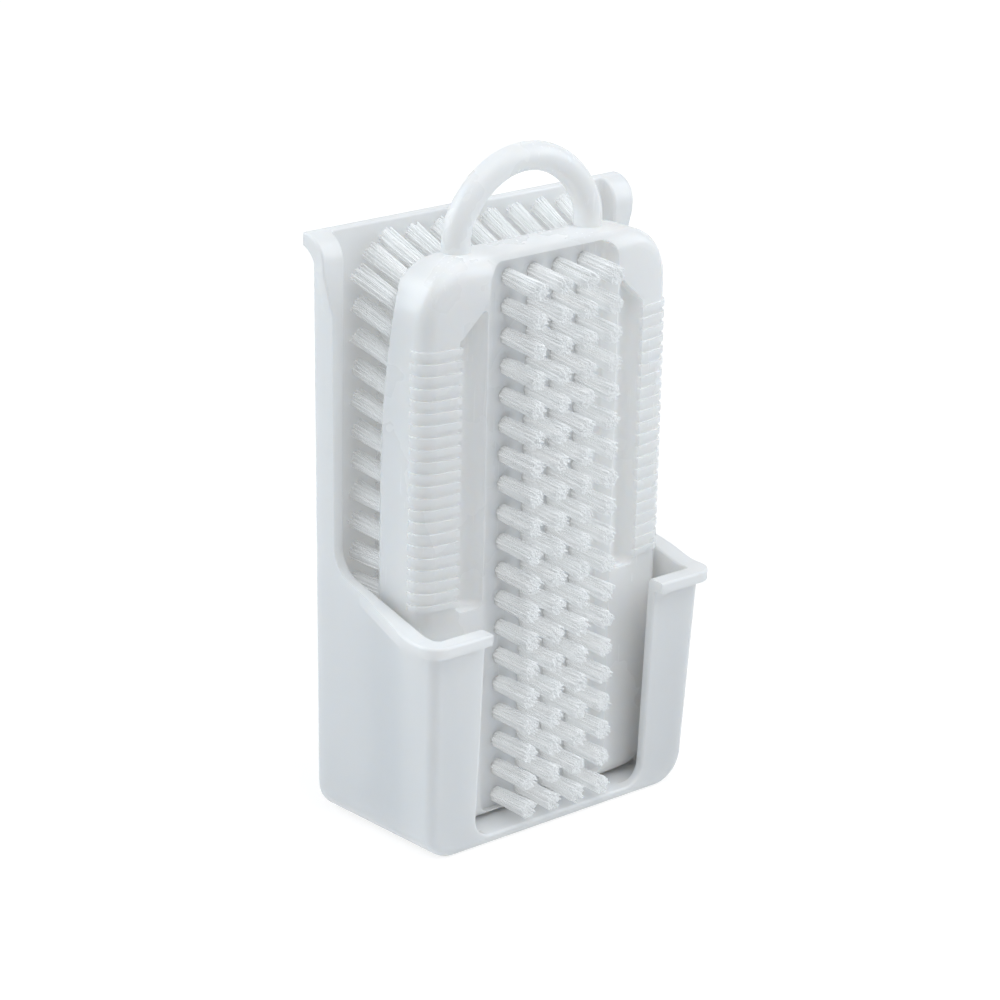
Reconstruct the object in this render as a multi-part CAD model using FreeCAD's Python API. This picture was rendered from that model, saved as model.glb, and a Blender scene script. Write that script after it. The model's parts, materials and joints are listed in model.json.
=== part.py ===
# Nail brush standing in its open holder
# Millimetres, +Z up, the holder's front faces -Y, x = 0 is the plane of symmetry

import math
import os

import FreeCAD
import Part

# Brush body, in its own frame: crest plane at y = 0, bottom at z = 0
BODY_WIDTH = 65.6
BODY_DEPTH = 15.0
BODY_HEIGHT = 116.2
BODY_BOTTOM_RADIUS = 8.0
BODY_TOP_RADIUS = 11.5
BODY_FRONT_RADIUS = 3.5
BODY_BACK_RADIUS = 2.0

# Back face: bowed forward towards the top, and bevelled there along both sides
BACK_BOW_HEIGHT = 45.0
BACK_BOW_DEPTH = 2.2
BACK_BEVEL_DEPTH = 4.0

# Wings at both sides of the crests, bowed back towards the body's sides
WING_WIDTH = 15.3
WING_SETBACK = 1.6
CREST_WIDTH = 0.7
CREST_OFFSET = BODY_WIDTH / 2 - WING_WIDTH

# Trough that the front tufts stand in
TROUGH_DEPTH = 3.0
TROUGH_FLANK = 2.0
TROUGH_END_MARGIN = 0.8
TROUGH_CORNER_RADIUS = 4.0
TROUGH_FOOT_RADIUS = 1.2
PANEL_HALF_WIDTH = CREST_OFFSET - TROUGH_FLANK

# Tufts and the holes they are set in
HOLE_RADIUS = 1.65
HOLE_DEPTH = 4.2
TUFT_CLEARANCE = 0.03
TUFT_TIP_RADIUS = 2.0
FRONT_TUFT_LENGTH = 10.2
REAR_TUFT_LENGTH = 9.6

# Front tufts: columns across, rows up, the tips hang lower towards the top
FRONT_COLUMNS = 4
FRONT_ROWS = 19
FRONT_SPREAD_SHARE = 0.6516
FRONT_BOTTOM_MARGIN = 3.2
FRONT_TOP_MARGIN = 4.6
FRONT_BOTTOM_DROOP = 1.5
FRONT_TOP_DROOP = 7.5

# Rear tufts: they fan out sideways and upwards, and their tips are trimmed level
REAR_COLUMNS = 10
REAR_ROWS = 19
REAR_SIDE_MARGIN = 4.0
REAR_BOTTOM_MARGIN = 5.0
REAR_TOP_MARGIN = 3.2
REAR_TIP_OUTWARD = 2.0
REAR_TIP_BELOW = 1.1
REAR_TIP_ABOVE = 5.2
REAR_CORNER_INWARD = 2.9
REAR_CORNER_UPRIGHT = 2.3

# Steel anchors that hold each tuft in its hole
ANCHOR_THICKNESS = 0.3
ANCHOR_HEIGHT = 1.2
ANCHOR_CLEARANCE = 0.04

# Holder walls, and the room they leave round the brush
HOLDER_WALL = 1.8
HOLDER_FLOOR = 2.5
SIDE_CLEARANCE = 0.4
FRONT_ROOM = 3.5
TIP_CLEARANCE = 0.5
SEAT_CLEARANCE = 0.05
WING_ABOVE_BODY = 4.0
BRUSH_LEAN = 1.28

# Holder's outside at its bottom, its draft and its rounded edges
HOLDER_WIDTH = BODY_WIDTH + 2 * (SIDE_CLEARANCE + HOLDER_WALL)
HOLDER_HEIGHT = HOLDER_FLOOR + BODY_HEIGHT + WING_ABOVE_BODY
LEAN_RUN = BODY_HEIGHT * math.sin(math.radians(BRUSH_LEAN))
HOLDER_DEPTH = 2 * HOLDER_WALL + FRONT_ROOM + BODY_DEPTH + LEAN_RUN + REAR_TUFT_LENGTH + TIP_CLEARANCE
SIDE_DRAFT_SHARE = 0.038
INNER_DRAFT_SHARE = 0.026
FRONT_DRAFT_SHARE = 0.021
BOTTOM_CORNER_RADIUS = 7.0
CONTOUR_RADIUS = 2.2
INNER_CONTOUR_RADIUS = 1.0
BACK_CONTOUR_RADIUS = 1.0
RIM_RADIUS = 0.5

# Holder's top edge seen from the side
POST_HEIGHT = 47.3
POST_LEVEL_END = 4.0
POST_BEND_RADIUS = 12.0
SLOPE_SHARE = 0.28
BACK_CHANNEL = 6.0
WING_FRONT = HOLDER_DEPTH - BACK_CHANNEL
WING_FOOT_RADIUS = 6.5
WING_TOP_RADIUS = 5.4

# Holder's lip, which fades out towards the wing's foot
LIP_PROUD = 2.1
LIP_THICKNESS = 2.3
LIP_FADE_START = 8.0
LIP_FADE_END = WING_FRONT - WING_FOOT_RADIUS
WING_LIP_FULL_HEIGHT = 7.0
WING_LIP_FADE_HEIGHT = 16.0

# Slot between the two front posts
POST_WIDTH = 11.8
SLOT_CORNER_RADIUS = 4.5

# Finger grooves beside the trough, from just above the posts
GROOVE_RADIUS = 3.5
GROOVE_FROM_CREST = 3.7
GROOVE_CENTRE_DEPTH = -0.3
GROOVE_ABOVE_POST = 1.2
GROOVE_TOP_MARGIN = 8.6
GROOVE_TOP_SLANT = 6.4
GROOVE_BOTTOM_RADIUS = 1.6
GROOVE_TOP_RADIUS = 0.8
GROOVE_OFFSET = CREST_OFFSET + GROOVE_FROM_CREST
GROOVE_BOTTOM = POST_HEIGHT - HOLDER_FLOOR + GROOVE_ABOVE_POST

# Grip ribs round the body's outer front corners
RIB_COUNT = 22
RIB_ABOVE_GROOVE = 1.5
RIB_TOP_MARGIN = 17.3
RIB_THICKNESS = 1.3
RIB_PROUD = 0.5
RIB_FROM_CREST = 6.7
RIB_REACH = 6.6
RIB_END_RUN = 2.0

# Loop handle, an arch of three bends
LOOP_TUBE_RADIUS = 2.9
LOOP_HALF_WIDTH = 17.6
LOOP_RISE = 14.2
LOOP_SIDE_RADIUS = 8.0
LOOP_STAND = 2.2
LOOP_ROOT_DEPTH = 5.8
LOOP_CENTRE_DEPTH = 9.8

# One overrun for all cuts
OVERRUN = 5.0
TOLERANCE_SHARE = 0.001


def point(x, y, z):
    """A point or direction."""
    return FreeCAD.Vector(x, y, z)


def prism(points, direction):
    """The solid swept by a flat outline along a direction."""
    return Part.Face(Part.makePolygon(points + points[:1])).extrude(direction)


def mirrored(shape):
    """The shape's twin on the other side of the plane of symmetry."""
    return shape.mirror(point(0, 0, 0), point(1, 0, 0))


def near(value, target):
    """Whether two lengths agree within a small share of the holder's wall."""
    return abs(value - target) < HOLDER_WALL * TOLERANCE_SHARE


def middle_of(edge):
    """The point halfway along an edge."""
    return edge.valueAt((edge.FirstParameter + edge.LastParameter) / 2)


def edges_where(shape, test):
    """The edges whose two end points and middle all pass a test."""
    found = []
    for edge in shape.Edges:
        spots = [vertex.Point for vertex in edge.Vertexes] + [middle_of(edge)]
        if all(test(spot) for spot in spots):
            found.append(edge)
    return found


def touches(spot, faces):
    """Whether a point lies on a set of faces."""
    return near(faces.distToShape(Part.Vertex(spot))[0], 0)


def fit_between(first, last, count, index):
    """The value at one of several evenly spaced steps."""
    return first + (last - first) * index / (count - 1)


# Holder

def half_width(level, outset):
    """Half the holder's width at a height, outside or, with an outset below zero, inside."""
    draft = INNER_DRAFT_SHARE if outset < 0 else SIDE_DRAFT_SHARE
    return HOLDER_WIDTH / 2 + outset + draft * level


def front_plane(level, outset):
    """Where the holder's front face stands at a height."""
    return -outset - FRONT_DRAFT_SHARE * level


def tub(outset, bottom, top, front_radius, back_radius):
    """A solid tub with the holder's outside shape, grown by an outset."""
    back = HOLDER_DEPTH + min(outset, 0)
    low, high = half_width(bottom, outset), half_width(top, outset)
    front_view = [point(-low, -HOLDER_DEPTH, bottom), point(low, -HOLDER_DEPTH, bottom),
                  point(high, -HOLDER_DEPTH, top), point(-high, -HOLDER_DEPTH, top)]
    side_view = [point(-HOLDER_WIDTH, front_plane(bottom, outset), bottom), point(-HOLDER_WIDTH, back, bottom),
                 point(-HOLDER_WIDTH, back, top), point(-HOLDER_WIDTH, front_plane(top, outset), top)]
    block = prism(front_view, point(0, 3 * HOLDER_DEPTH, 0)).common(
        prism(side_view, point(2 * HOLDER_WIDTH, 0, 0)))
    side_edges = edges_where(
        block, lambda spot: near(spot.z, bottom) and near(abs(spot.x), half_width(bottom, outset)))
    block = block.makeFillet(BOTTOM_CORNER_RADIUS + outset, side_edges)

    def contour(face):
        middles = [(edge, middle_of(edge)) for edge in block.Edges]
        return [edge for edge, spot in middles if near(spot.y, face(spot.z)) and not near(spot.z, top)]

    block = block.makeFillet(front_radius, contour(lambda level: front_plane(level, outset)))
    return block.makeFillet(back_radius, contour(lambda level: back))


def side_view_block():
    """Everything under the holder's top edge, seen from the side."""
    reach = HOLDER_WIDTH
    front = -HOLDER_DEPTH
    back = HOLDER_DEPTH + OVERRUN
    foot = POST_HEIGHT + SLOPE_SHARE * (WING_FRONT - POST_LEVEL_END)
    outline = [(front, -OVERRUN), (front, POST_HEIGHT), (POST_LEVEL_END, POST_HEIGHT), (WING_FRONT, foot),
               (WING_FRONT, HOLDER_HEIGHT), (back, HOLDER_HEIGHT), (back, -OVERRUN)]
    block = prism([point(-reach, y, z) for y, z in outline], point(2 * reach, 0, 0))
    bends = [(POST_LEVEL_END, POST_HEIGHT, POST_BEND_RADIUS), (WING_FRONT, foot, WING_FOOT_RADIUS),
             (WING_FRONT, HOLDER_HEIGHT, WING_TOP_RADIUS)]
    for y, z, radius in bends:
        edges = edges_where(block, lambda spot: near(spot.y, y) and near(spot.z, z))
        block = block.makeFillet(radius, edges)
    return block


def slot_block():
    """The front opening that the front tufts show through."""
    half = HOLDER_WIDTH / 2 - POST_WIDTH
    front = -HOLDER_DEPTH
    depth = HOLDER_DEPTH + HOLDER_WALL + CONTOUR_RADIUS
    outline = [point(-half, front, HOLDER_FLOOR), point(half, front, HOLDER_FLOOR),
               point(half, front, HOLDER_HEIGHT), point(-half, front, HOLDER_HEIGHT)]
    block = prism(outline, point(0, depth, 0))
    corners = edges_where(block, lambda spot: near(spot.z, HOLDER_FLOOR) and near(abs(spot.x), half))
    return block.makeFillet(SLOT_CORNER_RADIUS, corners)


def lip_strip(trim):
    """The band that follows the top edge at the lip's thickness."""
    lowered = trim.copy()
    lowered.translate(point(0, LIP_THICKNESS, -LIP_THICKNESS))
    return trim.cut(lowered)


def lower_lip():
    """The reach of the lip round the right post, fading out up the slope."""
    inner = half_width(0, 0) - POST_WIDTH - OVERRUN
    outer = half_width(0, LIP_PROUD)
    outline = [point(inner, -LIP_PROUD, 0), point(outer, -LIP_PROUD, 0), point(outer, LIP_FADE_START, 0),
               point(half_width(0, 0), LIP_FADE_END, 0), point(inner, LIP_FADE_END, 0)]
    draft = point(SIDE_DRAFT_SHARE * HOLDER_HEIGHT, -FRONT_DRAFT_SHARE * HOLDER_HEIGHT, HOLDER_HEIGHT)
    block = prism(outline, draft)
    corner = edges_where(block, lambda spot: near(spot.y, front_plane(spot.z, LIP_PROUD))
                         and near(spot.x, half_width(spot.z, LIP_PROUD)))
    return block.makeFillet(CONTOUR_RADIUS + LIP_PROUD, corner)


def upper_lip():
    """The reach of the lip along the wings' top, fading out down their front edges."""
    start = HOLDER_HEIGHT - WING_LIP_FADE_HEIGHT
    full = HOLDER_HEIGHT - WING_LIP_FULL_HEIGHT
    half_bottom = half_width(start, 0)
    half_full = half_width(full, LIP_PROUD)
    half_top = half_width(HOLDER_HEIGHT, LIP_PROUD)
    outline = [point(-half_bottom, 0, start), point(half_bottom, 0, start), point(half_full, 0, full),
               point(half_top, 0, HOLDER_HEIGHT), point(-half_top, 0, HOLDER_HEIGHT),
               point(-half_full, 0, full)]
    return prism(outline, point(0, HOLDER_DEPTH, 0))


def round_rim(shell, trim, inside, lips):
    """Round the slot's mouth, the rim's inner edge and the lip's outer edge."""
    rim = Part.makeCompound(trim.Faces)
    wall = Part.makeCompound(inside.Faces)
    low_lip = Part.makeCompound(lips[0].Faces + lips[1].Faces)
    high_lip = Part.makeCompound(lips[2].Faces)
    slot = HOLDER_WIDTH / 2 - POST_WIDTH + SLOT_CORNER_RADIUS * TOLERANCE_SHARE

    def on_slot_mouth(spot):
        return near(spot.y, front_plane(spot.z, 0)) and abs(spot.x) < slot

    def on_rim(spot):
        if not touches(spot, rim):
            return False
        on_low_lip = spot.y < LIP_FADE_START + LIP_PROUD / 2 and touches(spot, low_lip)
        on_high_lip = not near(spot.y, HOLDER_DEPTH) and touches(spot, high_lip)
        return touches(spot, wall) or on_low_lip or on_high_lip

    edges = edges_where(shell, on_slot_mouth) + edges_where(shell, on_rim)
    return shell.makeFillet(RIM_RADIUS, edges)


def make_holder():
    """The open holder: tub, posts, wings, back plate and lip in one moulding."""
    trim = side_view_block()
    strip = lip_strip(trim)
    rim = HOLDER_HEIGHT + OVERRUN
    inside = tub(-HOLDER_WALL, HOLDER_FLOOR, rim, INNER_CONTOUR_RADIUS, INNER_CONTOUR_RADIUS)
    lips = [lower_lip(), mirrored(lower_lip()), upper_lip()]
    shell = tub(0, 0, rim, CONTOUR_RADIUS, BACK_CONTOUR_RADIUS).common(trim)
    shell = shell.fuse([lip.common(strip) for lip in lips])
    shell = shell.cut([inside, slot_block()]).removeSplitter()
    return round_rim(shell, trim, inside, lips)


# Brush body

def front_section():
    """The body seen from above: flat between the crests, bowed back at the wings."""
    half = BODY_WIDTH / 2
    run = half - CREST_OFFSET
    bow = (run ** 2 + WING_SETBACK ** 2) / (2 * WING_SETBACK)
    between = run / 2
    middle = bow - math.sqrt(bow ** 2 - between ** 2)
    left = Part.Arc(point(-half, WING_SETBACK, 0), point(-CREST_OFFSET - between, middle, 0),
                    point(-CREST_OFFSET, 0, 0)).toShape()
    right = Part.Arc(point(CREST_OFFSET, 0, 0), point(CREST_OFFSET + between, middle, 0),
                     point(half, WING_SETBACK, 0)).toShape()
    rest = Part.makePolygon([point(half, WING_SETBACK, 0), point(half, BODY_DEPTH, 0),
                             point(-half, BODY_DEPTH, 0), point(-half, WING_SETBACK, 0)])
    front = Part.makeLine(point(-CREST_OFFSET, 0, 0), point(CREST_OFFSET, 0, 0))
    return Part.Face(Part.Wire([left, front, right] + rest.Edges))


def bow(level, depth):
    """How far the back has drawn in at a height, on an arc that ends at the body's top."""
    above = max(0, level - BODY_HEIGHT + BACK_BOW_HEIGHT)
    radius = (BACK_BOW_HEIGHT ** 2 + depth ** 2) / (2 * depth)
    return radius - math.sqrt(radius ** 2 - above ** 2)


def back_plane(level):
    """Where the body's back face is at a height."""
    return BODY_DEPTH - bow(level, BACK_BOW_DEPTH)


def bowed_back():
    """A bar across the body's whole width, up to its back face."""
    half = BODY_WIDTH / 2 + OVERRUN
    start = BODY_HEIGHT - BACK_BOW_HEIGHT
    top = BODY_HEIGHT + OVERRUN
    spots = [point(-half, back_plane(level), level) for level in (start, (start + top) / 2, top)]
    rest = Part.makePolygon([spots[-1], point(-half, -OVERRUN, top),
                             point(-half, -OVERRUN, -OVERRUN), point(-half, BODY_DEPTH, -OVERRUN),
                             spots[0]])
    return Part.Face(Part.Wire([Part.Arc(*spots).toShape()] + rest.Edges)).extrude(point(2 * half, 0, 0))


def back_bevel():
    """The cut for the bevel on the right, which opens up towards the top."""
    corner = (BODY_WIDTH / 2 + BODY_DEPTH) * math.sqrt(1 / 2) - BODY_BACK_RADIUS * (math.sqrt(2) - 1)
    start = BODY_HEIGHT - BACK_BOW_HEIGHT
    top = BODY_HEIGHT + OVERRUN
    spots = [point(corner - bow(level, BACK_BEVEL_DEPTH), -BODY_WIDTH, level)
             for level in (start, (start + top) / 2, top)]
    outer = corner + OVERRUN
    rest = Part.makePolygon([spots[-1], point(outer, -BODY_WIDTH, top),
                             point(outer, -BODY_WIDTH, start), spots[0]])
    cut = Part.Face(Part.Wire([Part.Arc(*spots).toShape()] + rest.Edges)).extrude(point(0, 2 * BODY_WIDTH, 0))
    cut.rotate(point(0, 0, 0), point(0, 0, 1), 45)
    return cut


def body_block():
    """The body's outside with its rounded corners and contour edges."""
    half = BODY_WIDTH / 2
    upright = front_section().extrude(point(0, 0, BODY_HEIGHT))
    outline = rounded_outline(half, 0, BODY_HEIGHT, (BODY_BOTTOM_RADIUS, BODY_TOP_RADIUS))
    block = upright.common(outline).common(bowed_back())
    back = edges_where(block, lambda spot: near(spot.y, back_plane(spot.z)))
    seam = BODY_HEIGHT - BACK_BOW_HEIGHT
    block = block.makeFillet(BODY_BACK_RADIUS, [edge for edge in back if not near(middle_of(edge).z, seam)])
    block = block.cut([back_bevel(), mirrored(back_bevel())])
    rim = [edge for edge in block.Edges
           if edge.BoundBox.YMax < BODY_FRONT_RADIUS
           and not (near(edge.BoundBox.XLength, 0) and edge.BoundBox.YMax < WING_SETBACK / 2)]
    return block.makeFillet(BODY_FRONT_RADIUS, rim)


def rounded_outline(half, bottom, top, radii):
    """A bar through the body's depth with a rounded front outline, radii for bottom and top."""
    width = 2 * half
    block = Part.makeBox(width, BODY_DEPTH + 2 * OVERRUN, top - bottom, point(-half, -OVERRUN, bottom))
    for level, radius in zip((bottom, top), radii):
        corners = edges_where(block, lambda spot: near(spot.z, level) and near(abs(spot.x), half))
        block = block.makeFillet(radius, corners)
    return block


def trough_block():
    """The trough between the crests, with rounded corners at its ends."""
    crest = CREST_OFFSET - CREST_WIDTH / 2
    flare = (crest - PANEL_HALF_WIDTH) / TROUGH_DEPTH * OVERRUN
    outline = [point(-PANEL_HALF_WIDTH, TROUGH_DEPTH, 0), point(PANEL_HALF_WIDTH, TROUGH_DEPTH, 0),
               point(crest + flare, -OVERRUN, 0), point(-crest - flare, -OVERRUN, 0)]
    block = prism(outline, point(0, 0, BODY_HEIGHT))
    feet = [edge for edge in block.Edges
            if edge.BoundBox.ZLength > BODY_HEIGHT / 2 and near(edge.BoundBox.YMin, TROUGH_DEPTH)]
    block = block.makeFillet(TROUGH_FOOT_RADIUS, feet)
    return block.common(rounded_outline(crest, TROUGH_END_MARGIN, BODY_HEIGHT - TROUGH_END_MARGIN,
                                        (TROUGH_CORNER_RADIUS, TROUGH_CORNER_RADIUS)))


def groove_block():
    """The finger groove on the right, with a slanting top end."""
    inner = GROOVE_OFFSET - GROOVE_RADIUS
    outer = GROOVE_OFFSET + GROOVE_RADIUS
    top = BODY_HEIGHT - GROOVE_TOP_MARGIN
    bar = Part.makeCylinder(
        GROOVE_RADIUS, BODY_HEIGHT, point(GROOVE_OFFSET, GROOVE_CENTRE_DEPTH, 0), point(0, 0, 1))
    slant = GROOVE_TOP_SLANT / (2 * GROOVE_RADIUS) * OVERRUN
    low = top - GROOVE_TOP_SLANT - slant
    outline = [point(inner - OVERRUN, -OVERRUN, GROOVE_BOTTOM), point(outer + OVERRUN, -OVERRUN, GROOVE_BOTTOM),
               point(outer + OVERRUN, -OVERRUN, low), point(inner - OVERRUN, -OVERRUN, top + slant)]
    bar = bar.common(prism(outline, point(0, 2 * OVERRUN, 0)))
    bottom_edges = edges_where(bar, lambda spot: near(spot.z, GROOVE_BOTTOM))
    bar = bar.makeFillet(GROOVE_BOTTOM_RADIUS, bottom_edges)
    top_edges = [edge for edge in bar.Edges if edge.BoundBox.ZMin > low]
    return bar.makeFillet(GROOVE_TOP_RADIUS, top_edges)


def rib_block():
    """One grip rib round the right front corner, its lower face at z = 0."""
    half = BODY_WIDTH / 2
    start = CREST_OFFSET + RIB_FROM_CREST
    outer = half + RIB_PROUD
    face = WING_SETBACK * (RIB_FROM_CREST / WING_WIDTH) ** 2
    corner = WING_SETBACK - RIB_PROUD
    outline = [point(start, face - RIB_PROUD, 0), point(outer, corner, 0),
               point(outer, RIB_REACH - RIB_END_RUN, 0), point(half - RIB_PROUD, RIB_REACH, 0),
               point(start, face + RIB_PROUD, 0)]
    rib = prism(outline, point(0, 0, RIB_THICKNESS))
    bend = edges_where(rib, lambda spot: near(spot.x, outer) and near(spot.y, corner))
    return rib.makeFillet(BODY_FRONT_RADIUS + RIB_PROUD, bend)


def make_ribs():
    """All the grip ribs, on both corners."""
    ribs = []
    rib = rib_block()
    for index in range(RIB_COUNT):
        copy = rib.copy()
        height = fit_between(GROOVE_BOTTOM + RIB_ABOVE_GROOVE, BODY_HEIGHT - RIB_TOP_MARGIN, RIB_COUNT, index)
        copy.translate(point(0, 0, height))
        ribs += [copy, mirrored(copy)]
    return ribs


def make_loop():
    """The loop handle: two legs, two side bends and a crown, all of one round bar."""
    reach = LOOP_HALF_WIDTH - LOOP_SIDE_RADIUS
    crown = (reach ** 2 + LOOP_RISE ** 2 - LOOP_SIDE_RADIUS ** 2) / (2 * (LOOP_RISE - LOOP_SIDE_RADIUS))
    side_angle = math.degrees(math.atan2(crown - LOOP_RISE, reach))
    spring = BODY_HEIGHT + LOOP_STAND
    bends = [(reach, spring, side_angle), (0, spring + LOOP_RISE - crown, 180 - 2 * side_angle),
             (-reach, spring, side_angle)]
    start = point(LOOP_HALF_WIDTH, LOOP_CENTRE_DEPTH, spring)
    ring = Part.Face(Part.Wire([Part.makeCircle(LOOP_TUBE_RADIUS, start, point(0, 0, 1))]))
    leg = ring.extrude(point(0, 0, -LOOP_STAND - LOOP_ROOT_DEPTH))
    pieces = [mirrored(leg)]
    for x, z, angle in bends:
        centre = point(x, LOOP_CENTRE_DEPTH, z)
        pieces.append(ring.revolve(centre, point(0, -1, 0), angle))
        ring.rotate(centre, point(0, -1, 0), angle)
    return leg.fuse(pieces).removeSplitter()


# Tufts, their holes and their anchors

def along(shape, base, direction):
    """A shape built up +Z from the origin, set at a base point along a direction."""
    copy = shape.copy()
    copy.Placement = FreeCAD.Placement(base, FreeCAD.Rotation(point(0, 0, 1), direction))
    return copy


def tuft_shape(length):
    """One tuft, split at its foot for the anchor."""
    radius = HOLE_RADIUS - TUFT_CLEARANCE
    foot = HOLE_DEPTH - TUFT_CLEARANCE
    stem = Part.makeCylinder(radius, foot, point(0, 0, -foot))
    tuft = stem.fuse(Part.makeCone(radius, TUFT_TIP_RADIUS, length))
    gap = ANCHOR_THICKNESS + 2 * ANCHOR_CLEARANCE
    height = ANCHOR_HEIGHT + 2 * ANCHOR_CLEARANCE
    split = Part.makeBox(2 * radius + 2 * OVERRUN, gap, height + OVERRUN,
                         point(-radius - OVERRUN, -gap / 2, -foot - OVERRUN))
    return tuft.cut(split)


def anchor_shape():
    """One steel anchor across the foot of a tuft's hole."""
    width = 2 * (HOLE_RADIUS - ANCHOR_CLEARANCE)
    bottom = -HOLE_DEPTH + ANCHOR_CLEARANCE
    return Part.makeBox(width, ANCHOR_THICKNESS, ANCHOR_HEIGHT,
                        point(-width / 2, -ANCHOR_THICKNESS / 2, bottom))


def hole_shape():
    """The cut for one tuft's hole."""
    return Part.makeCylinder(HOLE_RADIUS, HOLE_DEPTH + HOLE_RADIUS, point(0, 0, -HOLE_DEPTH))


def front_places():
    """Each front column's list of base points, directions and lengths."""
    columns = []
    for column in range(FRONT_COLUMNS):
        edge = FRONT_SPREAD_SHARE * PANEL_HALF_WIDTH
        x = fit_between(-edge, edge, FRONT_COLUMNS, column)
        places = []
        for row in range(FRONT_ROWS):
            z = fit_between(FRONT_BOTTOM_MARGIN, BODY_HEIGHT - FRONT_TOP_MARGIN, FRONT_ROWS, row)
            droop = math.radians(fit_between(FRONT_BOTTOM_DROOP, FRONT_TOP_DROOP, FRONT_ROWS, row))
            direction = point(0, -math.cos(droop), -math.sin(droop))
            places.append((point(x, TROUGH_DEPTH, z), direction, FRONT_TUFT_LENGTH))
        columns.append(places)
    return columns


def rear_places():
    """Each rear column's list of base points, directions and lengths."""
    level = BODY_DEPTH + REAR_TUFT_LENGTH
    columns = []
    for column in range(REAR_COLUMNS):
        side = fit_between(-1, 1, REAR_COLUMNS, column)
        places = []
        for row in range(REAR_ROWS):
            x = side * (BODY_WIDTH / 2 - REAR_SIDE_MARGIN)
            z = fit_between(REAR_BOTTOM_MARGIN, BODY_HEIGHT - REAR_TOP_MARGIN, REAR_ROWS, row)
            rise = fit_between(-REAR_TIP_BELOW, REAR_TIP_ABOVE, REAR_ROWS, row)
            if abs(side) == 1 and row in (0, REAR_ROWS - 1):
                x -= side * REAR_CORNER_INWARD
                z += REAR_CORNER_UPRIGHT if row == 0 else -REAR_CORNER_UPRIGHT
            base = point(x, back_plane(z), z)
            line = point(side * REAR_TIP_OUTWARD, level - base.y, rise)
            slant = TUFT_TIP_RADIUS * math.hypot(line.x, line.z) / line.y
            places.append((base, line, line.Length - slant))
        columns.append(places)
    return columns


def tuft_column(places):
    """One column's tufts, as one group of separate solids."""
    return Part.makeCompound([along(tuft_shape(length), base, direction) for base, direction, length in places])


def anchor_column(places):
    """One column's anchors, as one group of separate solids."""
    return Part.makeCompound([along(anchor_shape(), base, direction) for base, direction, _ in places])


def make_body():
    """The brush body: trough, grooves, ribs, loop and blind holes in one moulding."""
    groove = groove_block()
    body = body_block().cut([trough_block(), groove, mirrored(groove)])
    body = body.fuse(make_ribs() + [make_loop()])
    holes = []
    for places in front_places() + rear_places():
        holes += [along(hole_shape(), base, direction) for base, direction, _ in places]
    return body.cut(holes).removeSplitter()


def stand_in_holder(shape):
    """Lean a piece of the brush back and stand it on the holder's floor."""
    placed = shape.copy()
    placed.rotate(point(0, 0, 0), point(1, 0, 0), -BRUSH_LEAN)
    lift = HOLDER_FLOOR + SEAT_CLEARANCE + BODY_DEPTH * math.sin(math.radians(BRUSH_LEAN))
    placed.translate(point(0, HOLDER_WALL + FRONT_ROOM, lift))
    return placed


def make_nodes():
    """Every node of the part by name, centred over its own footprint."""
    nodes = {"brush_body": make_body()}
    for name, columns in (("front", front_places()), ("rear", rear_places())):
        for number, places in enumerate(columns, 1):
            nodes[f"{name}_tufts_column_{number}"] = tuft_column(places)
            nodes[f"{name}_anchors_column_{number}"] = anchor_column(places)
    nodes = {name: stand_in_holder(shape) for name, shape in nodes.items()}
    nodes["holder"] = make_holder()
    box = Part.makeCompound(list(nodes.values())).optimalBoundingBox(False, False)
    for shape in nodes.values():
        shape.translate(point(-(box.XMin + box.XMax) / 2, -(box.YMin + box.YMax) / 2, -box.ZMin))
    return nodes


def main():
    """Write one file for each node."""
    os.makedirs("parts", exist_ok=True)
    for name, shape in make_nodes().items():
        shape.exportStep(f"parts/{name}.step")


main()
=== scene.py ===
"""Looks of a nail brush standing in its open holder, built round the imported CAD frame.

Lengths are in metres in the row frame: +Z up, the holder's open front and the front tufts face -Y.
"""

import json
import logging
import math
from dataclasses import dataclass, field
from enum import Enum
from typing import ClassVar

import bpy
from mathutils import Matrix, Vector

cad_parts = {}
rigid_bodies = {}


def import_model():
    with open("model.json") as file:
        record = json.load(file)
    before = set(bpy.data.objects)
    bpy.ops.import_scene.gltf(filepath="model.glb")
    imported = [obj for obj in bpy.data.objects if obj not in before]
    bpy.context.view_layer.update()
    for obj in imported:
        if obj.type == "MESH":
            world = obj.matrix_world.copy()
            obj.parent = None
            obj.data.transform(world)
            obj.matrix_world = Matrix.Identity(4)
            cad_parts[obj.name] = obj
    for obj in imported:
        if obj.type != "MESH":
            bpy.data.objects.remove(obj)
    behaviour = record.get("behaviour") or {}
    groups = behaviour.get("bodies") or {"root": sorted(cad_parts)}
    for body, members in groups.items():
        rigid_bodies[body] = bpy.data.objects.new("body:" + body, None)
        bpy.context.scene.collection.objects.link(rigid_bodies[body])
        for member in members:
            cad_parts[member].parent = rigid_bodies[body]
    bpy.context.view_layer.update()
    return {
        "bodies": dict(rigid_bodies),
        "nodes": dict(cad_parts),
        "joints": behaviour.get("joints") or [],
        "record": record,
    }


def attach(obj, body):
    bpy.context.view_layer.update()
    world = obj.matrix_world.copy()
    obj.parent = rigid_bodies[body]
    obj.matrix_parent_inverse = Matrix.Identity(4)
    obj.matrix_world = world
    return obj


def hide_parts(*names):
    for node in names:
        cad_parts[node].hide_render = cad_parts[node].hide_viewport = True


LOG = logging.getLogger("nail_brush")
MM = 0.001
GOLDEN_ANGLE = math.pi * (3 - math.sqrt(5))
# Where the holder's front, without its lip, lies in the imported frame's depth, in millimetres
FRAME_SHIFT_MM = -15.85649
# Attributes that carry each tuft's direction and length and each filament's tone
AXIS_ATTRIBUTE = "tuft_axis"
LENGTH_ATTRIBUTE = "tuft_length"
TONE_ATTRIBUTE = "filament_tone"

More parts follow.
